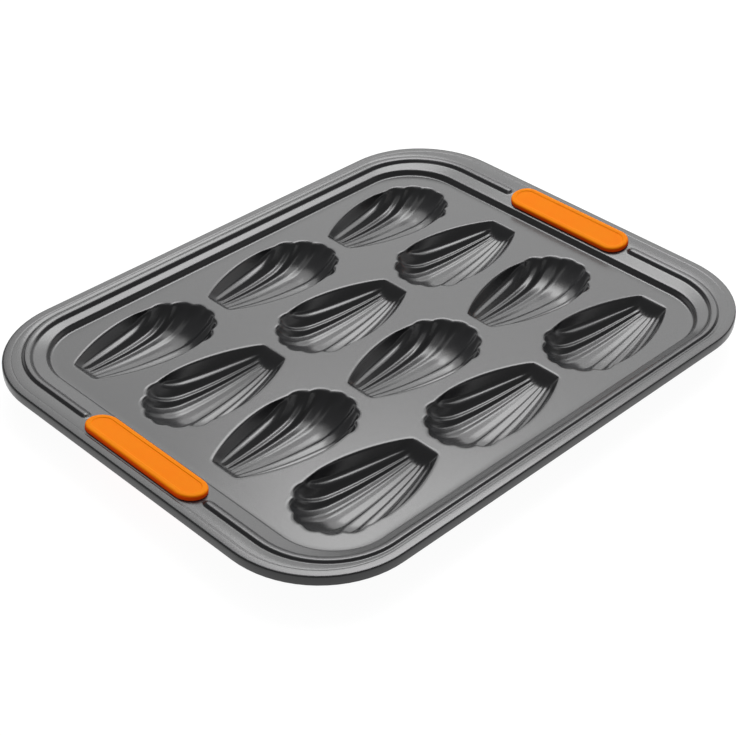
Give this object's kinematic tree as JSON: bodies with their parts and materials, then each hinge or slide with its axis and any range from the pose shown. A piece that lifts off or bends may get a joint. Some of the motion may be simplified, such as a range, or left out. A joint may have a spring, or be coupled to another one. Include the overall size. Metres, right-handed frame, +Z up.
{
  "type": "madeleine pan",
  "caption": "Shallow rectangular baking pan with rows of fluted shell-shaped cups pressed into a sunken deck, a raised beaded rim and a soft grip pad on each short side.",
  "frame": {"origin": "centre of the pan on the surface it stands on, under the lowest points of the cups", "axes": "+X along the long side, from the left grip to the right grip; +Y across, +Z up out of the cups"},
  "size_m": [0.36, 0.28, 0.024],
  "materials": {
    "coated_sheet": "satin non-stick coat",
    "grip": "satin moulded silicone"
  },
  "bodies": {
    "root": {"pan_sheet": "coated_sheet", "left_grip": "grip", "right_grip": "grip"}
  },
  "joints": []
}
